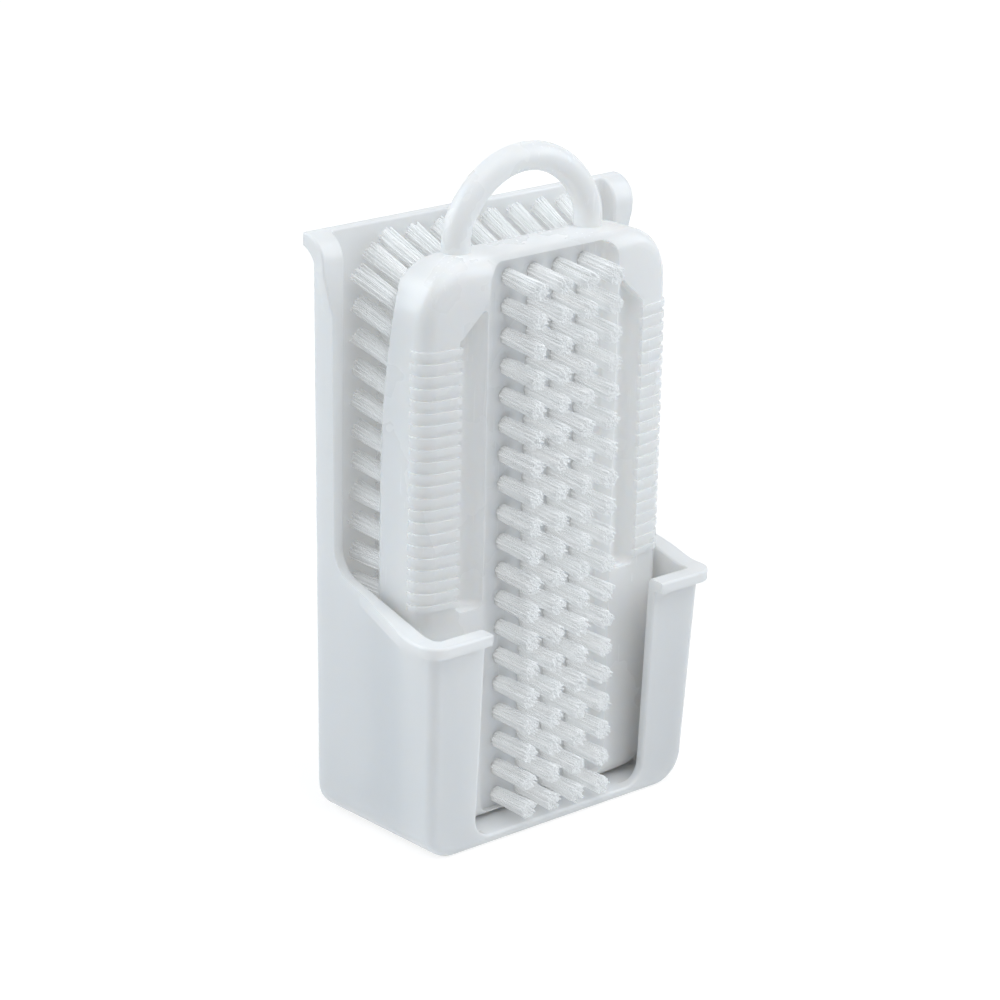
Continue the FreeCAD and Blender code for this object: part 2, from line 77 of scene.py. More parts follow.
Colour = tuple[float, float, float, float]
Triple = tuple[float, float, float]
WHITE: Colour = (1.0, 1.0, 1.0, 1.0)
WHITE_PLASTIC: Colour = (0.97, 0.965, 0.955, 1.0)
WHITE_PLASTIC_DRIFT: Colour = (0.945, 0.95, 0.94, 1.0)
SIDE_LIGHT: Triple = (0.88, 0.95, 1.0)
TOP_LIGHT: Triple = (0.96, 0.98, 1.0)


class Body(Enum):
    """The body that the scene's own pieces ride on."""

    BRUSH = "brush"


class Bank(Enum):
    """The two banks of tufts, one on each face of the brush."""

    FRONT = "front"
    REAR = "rear"


# Node trees

@dataclass
class Graph:
    """Short ways to add and join nodes in one tree.

    The class values are the places of sockets that share a name with others of their node.
    """

    tree: bpy.types.NodeTree
    first_colour: ClassVar[int] = 6
    second_colour: ClassVar[int] = 7
    mixed_colour: ClassVar[int] = 2
    low_places: ClassVar[dict[str, int]] = {"FLOAT_VECTOR": 0, "FLOAT": 2}
    high_places: ClassVar[dict[str, int]] = {"FLOAT_VECTOR": 1, "FLOAT": 3}
    drawn_places: ClassVar[dict[str, int]] = {"FLOAT_VECTOR": 0, "FLOAT": 1}

    def add(self, kind: str, **settings: object) -> bpy.types.Node:
        """Add a node.

        Args:
            kind: The node's type.
            settings: Properties to set on it.

        Returns:
            The new node.
        """
        node = self.tree.nodes.new(kind)
        for name, value in settings.items():
            setattr(node, name, value)
        return node

    def put(self, target: bpy.types.NodeSocket, value: object) -> None:
        """Feed an input.

        Args:
            target: The input socket.
            value: Another node's output socket, or a plain value.
        """
        if isinstance(value, bpy.types.NodeSocket):
            self.tree.links.new(value, target)
        else:
            target.default_value = value

    def math(self, operation: str, *values: object) -> bpy.types.NodeSocket:
        """Work out a number.

        Args:
            operation: The Math node's operation.
            values: Its inputs, in order.

        Returns:
            The socket that holds the result.
        """
        node = self.add("ShaderNodeMath", operation=operation)
        for target, value in zip(node.inputs, values):
            self.put(target, value)
        return node.outputs[0]

    def vector(self, operation: str, *values: object) -> bpy.types.NodeSocket:
        """Work out a vector.

        Args:
            operation: The Vector Math node's operation.
            values: Its inputs, in order; a scale goes into the Scale input.

        Returns:
            The socket that holds the result.
        """
        node = self.add("ShaderNodeVectorMath", operation=operation)
        targets = [node.inputs[0], node.inputs["Scale"]] if operation == "SCALE" else node.inputs
        for target, value in zip(targets, values):
            self.put(target, value)
        return node.outputs["Value" if operation in ("LENGTH", "DOT_PRODUCT") else "Vector"]

    def mix(self, share: object, first: object, second: object) -> bpy.types.NodeSocket:
        """Mix two colours.

        Args:
            share: How much of the second colour there is, 0 to 1.
            first: The first colour.
            second: The second colour.

        Returns:
            The socket that holds the mixed colour.
        """
        node = self.add("ShaderNodeMix", data_type="RGBA")
        self.put(node.inputs["Factor"], share)
        self.put(node.inputs[self.first_colour], first)
        self.put(node.inputs[self.second_colour], second)
        return node.outputs[self.mixed_colour]

    def group(self, tree: bpy.types.NodeTree, values: dict[str, object]) -> bpy.types.Node:
        """Add a shader node group.

        Args:
            tree: The group's tree.
            values: Each named input's value.

        Returns:
            The group's node.
        """
        node = self.add("ShaderNodeGroup", node_tree=tree)
        for name, value in values.items():
            self.put(node.inputs[name], value)
        return node

    def captured(self, geometry: bpy.types.NodeSocket, kind: str,
                 value: bpy.types.NodeSocket) -> tuple[bpy.types.NodeSocket, bpy.types.NodeSocket]:
        """Keep a value on the points of a geometry.

        Args:
            geometry: The geometry's socket.
            kind: The value's type, VECTOR or FLOAT.
            value: The value's socket.

        Returns:
            The sockets of the geometry and of the kept value.
        """
        node = self.add("GeometryNodeCaptureAttribute", domain="POINT")
        node.capture_items.new(kind, "kept")
        self.put(node.inputs[0], geometry)
        self.put(node.inputs[1], value)
        return node.outputs[0], node.outputs[1]

    def random(self, kind: str, low: object, high: object, seed: object) -> bpy.types.NodeSocket:
        """Draw one random value for each point.

        Args:
            kind: FLOAT or FLOAT_VECTOR.
            low: The lowest value.
            high: The highest value.
            seed: The seed or its socket.

        Returns:
            The socket of the value.
        """
        node = self.add("FunctionNodeRandomValue", data_type=kind)
        self.put(node.inputs[self.low_places[kind]], low)
        self.put(node.inputs[self.high_places[kind]], high)
        self.put(node.inputs["Seed"], seed)
        return node.outputs[self.drawn_places[kind]]


# Effects that more than one finish uses

@dataclass
class Effects:
    """The shader node groups, each built once."""

    cast_detail: float = 3.0
    patch_detail: float = 4.0
    grain_detail: float = 2.0
    scratch_detail: float = 1.0
    scratch_threshold: float = 0.68
    scratch_turn: Triple = (0.4, 0.9, 0.3)
    scratch_stretch: Triple = (1.0, 1.0, 0.05)
    cast: bpy.types.NodeTree = field(init=False)
    polish: bpy.types.NodeTree = field(init=False)

    def __post_init__(self) -> None:
        """Build the groups."""
        self.cast = self.build_cast()
        self.polish = self.build_polish()

    def opened(self, name: str, inputs: dict[str, str], outputs: dict[str, str]) -> bpy.types.NodeTree:
        """Open a shader group.

        Args:
            name: The group's name.
            inputs: Each input's name and socket type.
            outputs: Each output's name and socket type.

        Returns:
            The group, empty but for its sockets.
        """
        tree = bpy.data.node_groups.new(name, "ShaderNodeTree")
        for side, sockets in (("INPUT", inputs), ("OUTPUT", outputs)):
            for socket, kind in sockets.items():
                tree.interface.new_socket(socket, in_out=side, socket_type=kind)
        return tree

    def noise(self, graph: Graph, where: bpy.types.NodeSocket, scale: bpy.types.NodeSocket,
              detail: float) -> bpy.types.NodeSocket:
        """Add a noise.

        Args:
            graph: The group's graph.
            where: The socket of the places.
            scale: The socket of the patches or grains per metre.
            detail: How many finer layers it has.

        Returns:
            The socket of the noise.
        """
        node = graph.add("ShaderNodeTexNoise")
        graph.put(node.inputs["Vector"], where)
        graph.put(node.inputs["Scale"], scale)
        graph.put(node.inputs["Detail"], detail)
        return node.outputs["Fac"]

    def build_cast(self) -> bpy.types.NodeTree:
        """Build the slow drift of colour in a moulded or drawn plastic.

        Returns:
            The group.
        """
        tree = self.opened(
            "colour_cast",
            {"Colour": "NodeSocketColor", "Drift Colour": "NodeSocketColor",
             "Patches Per Metre": "NodeSocketFloat", "Drift Share": "NodeSocketFloat"},
            {"Colour": "NodeSocketColor"})
        graph = Graph(tree)
        inlet = graph.add("NodeGroupInput").outputs
        where = graph.add("ShaderNodeTexCoord").outputs["Object"]
        noise = self.noise(graph, where, inlet["Patches Per Metre"], self.cast_detail)
        share = graph.math("MULTIPLY", noise, inlet["Drift Share"])
        outlet = graph.add("NodeGroupOutput")
        graph.put(outlet.inputs["Colour"], graph.mix(share, inlet["Colour"], inlet["Drift Colour"]))
        return tree

    def build_polish(self) -> bpy.types.NodeTree:
        """Build the uneven polish of a used surface: soft patches, hairline scratches, fine grain.

        Returns:
            The group.
        """
        numbers = ("Low Roughness", "High Roughness", "Patches Per Metre", "Grains Per Metre",
                   "Scratch Share")
        tree = self.opened("used_polish", dict.fromkeys(numbers, "NodeSocketFloat"),
                           dict.fromkeys(("Roughness", "Height"), "NodeSocketFloat"))
        graph = Graph(tree)
        inlet = graph.add("NodeGroupInput").outputs
        where = graph.add("ShaderNodeTexCoord").outputs["Object"]
        patches = self.noise(graph, where, inlet["Patches Per Metre"], self.patch_detail)
        grain = self.noise(graph, where, inlet["Grains Per Metre"], self.grain_detail)
        drawn = graph.add("ShaderNodeMapping")
        graph.put(drawn.inputs["Vector"], where)
        graph.put(drawn.inputs["Rotation"], self.scratch_turn)
        graph.put(drawn.inputs["Scale"], self.scratch_stretch)
        scratch = self.noise(graph, drawn.outputs["Vector"], inlet["Grains Per Metre"], self.scratch_detail)
        lines = graph.math("MULTIPLY", graph.math("GREATER_THAN", scratch, self.scratch_threshold),
                           inlet["Scratch Share"])
        share = graph.math("ADD", patches, lines)
        spread = graph.math("SUBTRACT", inlet["High Roughness"], inlet["Low Roughness"])
        rough = graph.math("MULTIPLY_ADD", spread, share, inlet["Low Roughness"])
        outlet = graph.add("NodeGroupOutput")
        graph.put(outlet.inputs["Roughness"], rough)
        graph.put(outlet.inputs["Height"], grain)
        return tree


# Finishes

@dataclass(frozen=True)
class Finish:
    """What every finish of this brush shares."""

    name: str
    colour: Colour
    drift_colour: Colour
    patches_per_metre: float
    drift_share: float
    low_roughness: float
    high_roughness: float
    grains_per_metre: float
    scratch_share: float
    bump_strength: float
    bump_distance: float
    slot: str

    def start(self, effects: Effects) -> tuple[bpy.types.Material, Graph, bpy.types.Node]:
        """Make the material with its colour, polish and grain.

        Args:
            effects: The shared node groups.

        Returns:
            The material, its graph and its main shader.
        """
        material = bpy.data.materials.new(self.name)
        material.use_nodes = True
        graph = Graph(material.node_tree)
        shader = material.node_tree.nodes["Principled BSDF"]
        cast = graph.group(effects.cast, {
            "Colour": self.colour, "Drift Colour": self.drift_colour,
            "Patches Per Metre": self.patches_per_metre, "Drift Share": self.drift_share})
        graph.put(shader.inputs["Base Color"], cast.outputs["Colour"])
        polish = graph.group(effects.polish, {
            "Low Roughness": self.low_roughness, "High Roughness": self.high_roughness,
            "Patches Per Metre": self.patches_per_metre, "Grains Per Metre": self.grains_per_metre,
            "Scratch Share": self.scratch_share})
        graph.put(shader.inputs["Roughness"], polish.outputs["Roughness"])
        bump = graph.add("ShaderNodeBump")
        bump.inputs["Strength"].default_value = self.bump_strength
        bump.inputs["Distance"].default_value = self.bump_distance
        graph.put(bump.inputs["Height"], polish.outputs["Height"])
        graph.put(shader.inputs["Normal"], bump.outputs["Normal"])
        return material, graph, shader


@dataclass(frozen=True)
class MouldedPlastic(Finish):
    """Glossy white plastic that lets a little light through, red the furthest."""

    glow_share: float = 0.8
    glow_depth: float = 6.0 * MM
    glow_depth_shares: Triple = (1.0, 0.9, 0.8)
    refraction: float = 1.49

    def material(self, effects: Effects) -> bpy.types.Material:
        """Make the material.

        Args:
            effects: The shared node groups.

        Returns:
            The material.
        """
        material, _, shader = self.start(effects)
        shader.inputs["IOR"].default_value = self.refraction
        shader.inputs["Subsurface Weight"].default_value = self.glow_share
        shader.inputs["Subsurface Radius"].default_value = self.glow_depth_shares
        shader.inputs["Subsurface Scale"].default_value = self.glow_depth
        return material


@dataclass(frozen=True)
class NylonFilament(Finish):
    """White nylon, each filament a little lighter or darker than the next.

    A faint painted glow, an emission, stands in for the light that passes from filament to filament.
    """

    pale_colour: Colour = WHITE
    painted_glow: float = 0.11
    refraction: float = 1.53

    def material(self, effects: Effects) -> bpy.types.Material:
        """Make the material.

        Args:
            effects: The shared node groups.

        Returns:
            The material.
        """
        material, graph, shader = self.start(effects)
        tone = graph.add("ShaderNodeAttribute", attribute_name=TONE_ATTRIBUTE)
        cast = shader.inputs["Base Color"].links[0].from_socket
        graph.put(shader.inputs["Base Color"], graph.mix(tone.outputs["Fac"], cast, self.pale_colour))
        shader.inputs["IOR"].default_value = self.refraction
        # Painted glow: the filaments emit a little of their own colour, standing in for light passed
        # between them
        shader.inputs["Emission Color"].default_value = self.colour
        shader.inputs["Emission Strength"].default_value = self.painted_glow
        return material


@dataclass(frozen=True)
class DrawnSteel(Finish):
    """Bright drawn wire."""

    def material(self, effects: Effects) -> bpy.types.Material:
        """Make the material.

        Args:
            effects: The shared node groups.

        Returns:
            The material.
        """
        material, _, shader = self.start(effects)
        shader.inputs["Metallic"].default_value = 1.0
        return material


HOLDER_PLASTIC = MouldedPlastic(
    name="holder_white_plastic", slot="holder_plastic",
    colour=WHITE_PLASTIC, drift_colour=WHITE_PLASTIC_DRIFT,
    patches_per_metre=35.0, drift_share=0.5, low_roughness=0.16, high_roughness=0.26,
    grains_per_metre=1400.0, scratch_share=0.08, bump_strength=0.02, bump_distance=0.1 * MM)
BRUSH_PLASTIC = MouldedPlastic(
    name="brush_white_plastic", slot="brush_plastic",
    colour=WHITE_PLASTIC, drift_colour=WHITE_PLASTIC_DRIFT,
    patches_per_metre=40.0, drift_share=0.5, low_roughness=0.20, high_roughness=0.34,
    grains_per_metre=1600.0, scratch_share=0.08, bump_strength=0.03, bump_distance=0.1 * MM)
BRISTLE_NYLON = NylonFilament(
    name="bristle_white_nylon", slot="bristle",
    colour=(0.95, 0.97, 0.98, 1.0), drift_colour=(0.97, 0.98, 0.985, 1.0),
    patches_per_metre=300.0, drift_share=0.5, low_roughness=0.3, high_roughness=0.45,
    grains_per_metre=4000.0, scratch_share=0.0, bump_strength=0.05, bump_distance=0.05 * MM)
ANCHOR_STEEL = DrawnSteel(
    name="anchor_drawn_steel", slot="anchor_steel",
    colour=(0.62, 0.62, 0.60, 1.0), drift_colour=(0.55, 0.54, 0.52, 1.0),
    patches_per_metre=500.0, drift_share=0.6, low_roughness=0.25, high_roughness=0.4,
    grains_per_metre=6000.0, scratch_share=0.8, bump_strength=0.1, bump_distance=0.05 * MM)


# Tufts

@dataclass(frozen=True)
class Planted:
    """The sockets that say where each filament stands in its tuft."""

    points: bpy.types.NodeSocket
    root: bpy.types.NodeSocket
    axis: bpy.types.NodeSocket
    length: bpy.types.NodeSocket
    across: bpy.types.NodeSocket


@dataclass
class FilamentTree:
    """The Geometry Nodes tree that grows a bundle of filaments on every tuft root."""

    sides: int = 5
    segments: int = 3
    tip_share: float = 0.86
    half_step: float = 0.5
    seed: int = 11
    seeds_per_column: int = 10
    seeds_per_bank: int = 1000
    stray_draw: int = 1
    bend_draw: int = 2
    tone_draw: int = 3
    wanted: ClassVar[dict[str, str]] = {
        "Filaments": "NodeSocketInt", "Root Radius": "NodeSocketFloat", "Tip Radius": "NodeSocketFloat",
        "Sunk": "NodeSocketFloat", "Ragged Share": "NodeSocketFloat", "Filament Radius": "NodeSocketFloat",
        "Stray": "NodeSocketFloat", "Bend": "NodeSocketFloat", "Seed": "NodeSocketInt",
        "Material": "NodeSocketMaterial"}
    tree: bpy.types.NodeTree = field(init=False)
    keys: dict[str, str] = field(init=False, default_factory=dict)

    def __post_init__(self) -> None:
        """Build the tree."""
        self.tree = bpy.data.node_groups.new("filament_bundles", "GeometryNodeTree")
        self.open_sockets()
        self.build()

    def open_sockets(self) -> None:
        """Give the tree its named inputs and its output."""
        face = self.tree.interface
        face.new_socket("Geometry", in_out="INPUT", socket_type="NodeSocketGeometry")
        for name, kind in self.wanted.items():
            self.keys[name] = face.new_socket(name, in_out="INPUT", socket_type=kind).identifier
        face.new_socket("Geometry", in_out="OUTPUT", socket_type="NodeSocketGeometry")

    def read(self, graph: Graph, kind: str, name: str) -> bpy.types.NodeSocket:
        """Read an attribute of the tuft roots.

        Args:
            graph: The tree's graph.
            kind: FLOAT or FLOAT_VECTOR.
            name: The attribute's name.

        Returns:
            The socket of its value.
        """
        node = graph.add("GeometryNodeInputNamedAttribute", data_type=kind)
        graph.put(node.inputs["Name"], name)
        return node.outputs[0]

    def swing(self, graph: Graph, inlet: object, draw: int) -> bpy.types.NodeSocket:
        """Draw a vector for each point, each part of it between -1 and 1.

        Args:
            graph: The tree's graph.
            inlet: The group input's sockets.
            draw: Which of the bundle's draws it is.

        Returns:
            The socket of the vector.
        """
        seed = graph.math("ADD", inlet["Seed"], draw)
        return graph.random("FLOAT_VECTOR", (-1.0, -1.0, -1.0), (1.0, 1.0, 1.0), seed)

    def disc(self, graph: Graph, inlet: object) -> tuple[bpy.types.NodeSocket, bpy.types.NodeSocket]:
        """Lay the filaments' places out evenly over a disc of radius 1.

        Args:
            graph: The tree's graph.
            inlet: The group input's sockets.

        Returns:
            The sockets of the points and of their places.
        """
        index = graph.add("GeometryNodeInputIndex").outputs[0]
        share = graph.math("DIVIDE", graph.math("ADD", index, self.half_step), inlet["Filaments"])
        radius = graph.math("SQRT", share)
        angle = graph.math("MULTIPLY", index, GOLDEN_ANGLE)
        place = graph.add("ShaderNodeCombineXYZ")
        graph.put(place.inputs["X"], graph.math("MULTIPLY", radius, graph.math("COSINE", angle)))
        graph.put(place.inputs["Y"], graph.math("MULTIPLY", radius, graph.math("SINE", angle)))
        points = graph.add("GeometryNodePoints")
        graph.put(points.inputs["Count"], inlet["Filaments"])
        graph.put(points.inputs["Position"], place.outputs[0])
        here = graph.add("GeometryNodeInputPosition").outputs[0]
        return graph.captured(points.outputs[0], "VECTOR", here)

    def plant(self, graph: Graph, inlet: object) -> Planted:
        """Lay a disc of filament places on every root, square to the tuft's direction.

        Args:
            graph: The tree's graph.
            inlet: The group input's sockets.

        Returns:
            The sockets that say where each filament stands.
        """
        disc_points, disc_place = self.disc(graph, inlet)
        axis = self.read(graph, "FLOAT_VECTOR", AXIS_ATTRIBUTE)
        roots, axis = graph.captured(inlet["Geometry"], "VECTOR", axis)
        length = self.read(graph, "FLOAT", LENGTH_ATTRIBUTE)
        roots, length = graph.captured(roots, "FLOAT", length)
        here = graph.add("GeometryNodeInputPosition").outputs[0]
        roots, root = graph.captured(roots, "VECTOR", here)
        bundles = graph.add("GeometryNodeInstanceOnPoints")
        graph.put(bundles.inputs["Points"], roots)
        graph.put(bundles.inputs["Instance"], disc_points)
        loose = graph.add("GeometryNodeRealizeInstances")
        graph.put(loose.inputs[0], bundles.outputs[0])
        turn = graph.add("FunctionNodeAlignRotationToVector", axis="Z")
        graph.put(turn.inputs["Vector"], axis)
        across = graph.add("FunctionNodeRotateVector")
        graph.put(across.inputs["Vector"], disc_place)
        graph.put(across.inputs["Rotation"], turn.outputs[0])
        return Planted(loose.outputs[0], root, axis, length, across.outputs[0])

    def ends(self, graph: Graph, inlet: object,
             planted: Planted) -> tuple[bpy.types.NodeSocket, bpy.types.NodeSocket]:
        """Work out where each filament starts in its hole and where its uneven tip ends.

        Args:
            graph: The tree's graph.
            inlet: The group input's sockets.
            planted: Where each filament stands.

        Returns:
            The sockets of the foot and of the tip.
        """
        sunk = graph.vector("SCALE", planted.axis, inlet["Sunk"])
        foot = graph.vector("ADD", graph.vector("SUBTRACT", planted.root, sunk),
                            graph.vector("SCALE", planted.across, inlet["Root Radius"]))
        shortest = graph.math("SUBTRACT", 1.0, inlet["Ragged Share"])
        cut = graph.random("FLOAT", shortest, 1.0, inlet["Seed"])
        reach = graph.math("MULTIPLY", planted.length, cut)
        stray = self.swing(graph, inlet, self.stray_draw)
        along = graph.vector("ADD", planted.root, graph.vector("SCALE", planted.axis, reach))
        aside = graph.vector("ADD", graph.vector("SCALE", planted.across, inlet["Tip Radius"]),
                             graph.vector("SCALE", stray, inlet["Stray"]))
        return foot, graph.vector("ADD", along, aside)

    def stalk(self, graph: Graph) -> tuple[bpy.types.NodeSocket, bpy.types.NodeSocket]:
        """Make one straight filament of radius and length 1.

        Args:
            graph: The tree's graph.

        Returns:
            The sockets of its mesh and of the height of each of its points.
        """
        stalk = graph.add("GeometryNodeMeshCone", fill_type="NGON")
        graph.put(stalk.inputs["Vertices"], self.sides)
        graph.put(stalk.inputs["Side Segments"], self.segments)
        graph.put(stalk.inputs["Radius Top"], self.tip_share)
        graph.put(stalk.inputs["Radius Bottom"], 1.0)
        graph.put(stalk.inputs["Depth"], 1.0)
        smooth = graph.add("GeometryNodeSetShadeSmooth")
        graph.put(smooth.inputs["Geometry"], stalk.outputs["Mesh"])
        graph.put(smooth.inputs["Selection"], stalk.outputs["Side"])
        height = graph.add("ShaderNodeSeparateXYZ")
        graph.put(height.inputs[0], graph.add("GeometryNodeInputPosition").outputs[0])
        return graph.captured(smooth.outputs[0], "FLOAT", height.outputs["Z"])

    def raised(self, graph: Graph, inlet: object, points: bpy.types.NodeSocket,
               stalk: bpy.types.NodeSocket, line: bpy.types.NodeSocket) -> bpy.types.NodeSocket:
        """Raise a filament on every point, from its foot to its tip.

        Args:
            graph: The tree's graph.
            inlet: The group input's sockets.
            points: The socket of the feet.
            stalk: The socket of the filament of radius and length 1.
            line: The socket of the way from foot to tip.

        Returns:
            The socket of the filaments.
        """
        aim = graph.add("FunctionNodeAlignRotationToVector", axis="Z")
        graph.put(aim.inputs["Vector"], line)
        size = graph.add("ShaderNodeCombineXYZ")
        graph.put(size.inputs["X"], inlet["Filament Radius"])
        graph.put(size.inputs["Y"], inlet["Filament Radius"])
        graph.put(size.inputs["Z"], graph.vector("LENGTH", line))
        grown = graph.add("GeometryNodeInstanceOnPoints")
        graph.put(grown.inputs["Points"], points)
        graph.put(grown.inputs["Instance"], stalk)
        graph.put(grown.inputs["Rotation"], aim.outputs[0])
        graph.put(grown.inputs["Scale"], size.outputs[0])
        real = graph.add("GeometryNodeRealizeInstances")
        graph.put(real.inputs[0], grown.outputs[0])
        return real.outputs[0]

    def build(self) -> None:
        """Join the nodes: roots, filament places, filaments, bend, tone, material."""
        graph = Graph(self.tree)
        inlet = graph.add("NodeGroupInput").outputs
        planted = self.plant(graph, inlet)
        foot, tip = self.ends(graph, inlet, planted)
        placed = graph.add("GeometryNodeSetPosition")
        graph.put(placed.inputs["Geometry"], planted.points)
        graph.put(placed.inputs["Position"], foot)
        points, bend = graph.captured(placed.outputs[0], "VECTOR", self.swing(graph, inlet, self.bend_draw))
        tone = graph.random("FLOAT", 0.0, 1.0, graph.math("ADD", inlet["Seed"], self.tone_draw))
        points, tone = graph.captured(points, "FLOAT", tone)
        stalk, climb = self.stalk(graph)
        sway = graph.add("GeometryNodeSetPosition")
        line = graph.vector("SUBTRACT", tip, foot)
        graph.put(sway.inputs["Geometry"], self.raised(graph, inlet, points, stalk, line))
        middle = graph.math("MULTIPLY", climb, graph.math("SUBTRACT", 1.0, climb))
        bow = graph.math("MULTIPLY", middle, inlet["Bend"])
        graph.put(sway.inputs["Offset"], graph.vector("SCALE", bend, bow))
        named = graph.add("GeometryNodeStoreNamedAttribute", data_type="FLOAT", domain="POINT")
        graph.put(named.inputs["Geometry"], sway.outputs[0])
        graph.put(named.inputs["Name"], TONE_ATTRIBUTE)
        graph.put(named.inputs["Value"], tone)
        dressed = graph.add("GeometryNodeSetMaterial")
        graph.put(dressed.inputs["Geometry"], named.outputs[0])
        graph.put(dressed.inputs["Material"], inlet["Material"])
        graph.put(graph.add("NodeGroupOutput").inputs[0], dressed.outputs[0])

    def grow(self, roots: bpy.types.Object, values: dict[str, object]) -> bpy.types.Mesh:
        """Grow the filaments on an object's points and bake them to a plain mesh.

        Args:
            roots: The object whose vertices are the tuft roots.
            values: Each named input's value.

        Returns:
            The baked mesh.
        """
        modifier = roots.modifiers.new("filaments", "NODES")
        modifier.node_group = self.tree
        for name, value in values.items():
            modifier[self.keys[name]] = value
        graph = bpy.context.evaluated_depsgraph_get()
        mesh = bpy.data.meshes.new_from_object(roots.evaluated_get(graph), depsgraph=graph)
        roots.modifiers.remove(modifier)
        return mesh


@dataclass(frozen=True)
class Tuft:
    """One tuft in the brush's own frame."""

    root: Vector
    axis: Vector
    length: float


@dataclass
class TuftBank:
    """One bank of tufts: where each tuft stands and how its filaments look."""

    columns: int
    rows: int
    half_spread: float
    bottom: float
    top: float
    length: float
    filaments: int
    bank: ClassVar[Bank]
    seed_block: ClassVar[int]
    ragged_share: float = 0.07
    root_radius: float = 1.52 * MM
    tip_radius: float = 1.86 * MM
    filament_radius: float = 0.19 * MM
    sunk: float = 1.0 * MM
    stray: float = 0.22 * MM
    bend: float = 0.5 * MM

    def tuft(self, side: float, share: float) -> Tuft:
        """Work out one tuft.

        Args:
            side: Where its column stands, from -1 on the left to 1 on the right.
            share: Where it stands in its column, from 0 at the bottom to 1 at the top.

        Returns:
            The tuft.
        """
        raise NotImplementedError

    def column_piece(self, column: int, tree: FilamentTree, material: bpy.types.Material,
                     stand: Matrix) -> bpy.types.Object:
        """Grow one column of tufts.

        Args:
            column: The column's number, from 0.
            tree: The tree that grows the filaments.
            material: The filaments' material.
            stand: How the brush stands in the holder.

        Returns:
            The column's object.
        """
        name = f"{self.bank.value}_bristles_column_{column + 1}"
        side = 2 * column / (self.columns - 1) - 1
        tufts = [self.tuft(side, row / (self.rows - 1)) for row in range(self.rows)]
        mesh = bpy.data.meshes.new(name + "_roots")
        mesh.from_pydata([stand @ tuft.root for tuft in tufts], [], [])
        # Making the second attribute moves the first one's data, so the first is filled before that
        axes = mesh.attributes.new(AXIS_ATTRIBUTE, "FLOAT_VECTOR", "POINT")
        for item, tuft in zip(axes.data, tufts):
            item.vector = stand.to_3x3() @ tuft.axis
        lengths = mesh.attributes.new(LENGTH_ATTRIBUTE, "FLOAT", "POINT")
        for item, tuft in zip(lengths.data, tufts):
            item.value = tuft.length
        roots = bpy.data.objects.new(name + "_roots", mesh)
        bpy.context.scene.collection.objects.link(roots)
        grown = tree.grow(roots, {
            "Filaments": self.filaments, "Root Radius": self.root_radius, "Tip Radius": self.tip_radius,
            "Sunk": self.sunk, "Ragged Share": self.ragged_share, "Filament Radius": self.filament_radius,
            "Stray": self.stray, "Bend": self.bend, "Material": material,
            "Seed": tree.seed + tree.seeds_per_bank * self.seed_block + tree.seeds_per_column * column})
        bpy.data.objects.remove(roots)
        grown.name = name
        piece = bpy.data.objects.new(name, grown)
        bpy.context.scene.collection.objects.link(piece)
        return piece

    def build(self, tree: FilamentTree, material: bpy.types.Material, stand: Matrix) -> None:
        """Grow every column and put it in the place of its CAD node.

        Args:
            tree: The tree that grows the filaments.
            material: The filaments' material.
            stand: How the brush stands in the holder.
        """
        for column in range(self.columns):
            piece = self.column_piece(column, tree, material, stand)
            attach(piece, Body.BRUSH.value)
            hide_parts(f"{self.bank.value}_tufts_column_{column + 1}")
            LOG.info("%s: %d tufts, %d faces", piece.name, self.rows, len(piece.data.polygons))


@dataclass
class FrontBank(TuftBank):
    """The front tufts, which hang lower towards the top of the brush."""

    bank: ClassVar[Bank] = Bank.FRONT
    seed_block: ClassVar[int] = 5
    root_depth: float = 3.0 * MM
    bottom_droop: float = 1.5
    top_droop: float = 7.5

    def tuft(self, side: float, share: float) -> Tuft:
        """Work out one tuft, which droops more the higher it stands.

        Args:
            side: Where its column stands, from -1 on the left to 1 on the right.
            share: Where it stands in its column, from 0 at the bottom to 1 at the top.

        Returns:
            The tuft.
        """
        droop = math.radians(between(self.bottom_droop, self.top_droop, share))
        root = Vector((side * self.half_spread, self.root_depth, between(self.bottom, self.top, share)))
        return Tuft(root, Vector((0.0, -math.cos(droop), -math.sin(droop))), self.length)


@dataclass
class RearBank(TuftBank):
    """The rear tufts, which fan out to the sides and upwards, and are trimmed level."""

    bank: ClassVar[Bank] = Bank.REAR
    seed_block: ClassVar[int] = 4
    body_depth: float = 15.0 * MM
    body_height: float = 116.2 * MM
    bow_height: float = 45.0 * MM
    bow_depth: float = 2.2 * MM
    tip_outward: float = 2.0 * MM
    tip_below: float = 1.1 * MM
    tip_above: float = 5.2 * MM
    trim_radius: float = 2.0 * MM
    corner_inward: float = 2.9 * MM
    corner_upright: float = 2.3 * MM

    def root_depth(self, height: float) -> float:
        """Say how deep the body's back face lies, which bows forward towards the top.

        Args:
            height: The height above the body's lower end.

        Returns:
            The depth behind the plane of the body's front.
        """
        radius = (self.bow_height ** 2 + self.bow_depth ** 2) / (2 * self.bow_depth)
        above = max(0.0, height - self.body_height + self.bow_height)
        return self.body_depth - radius + math.sqrt(radius ** 2 - above ** 2)

    def tuft(self, side: float, share: float) -> Tuft:
        """Work out one tuft, which is drawn in if it stands at a corner of the bank.

        Args:
            side: Where its column stands, from -1 on the left to 1 on the right.
            share: Where it stands in its column, from 0 at the bottom to 1 at the top.

        Returns:
            The tuft.
        """
        x, z = side * self.half_spread, between(self.bottom, self.top, share)
        if abs(side) == 1 and share in (0, 1):
            x -= side * self.corner_inward
            z += self.corner_upright * (1 - 2 * share)
        root = Vector((x, self.root_depth(z), z))
        line = Vector((side * self.tip_outward, self.body_depth + self.length - root.y,
                       between(-self.tip_below, self.tip_above, share)))
        slant = self.trim_radius * math.hypot(line.x, line.z) / line.y
        return Tuft(root, line.normalized(), line.length - slant)


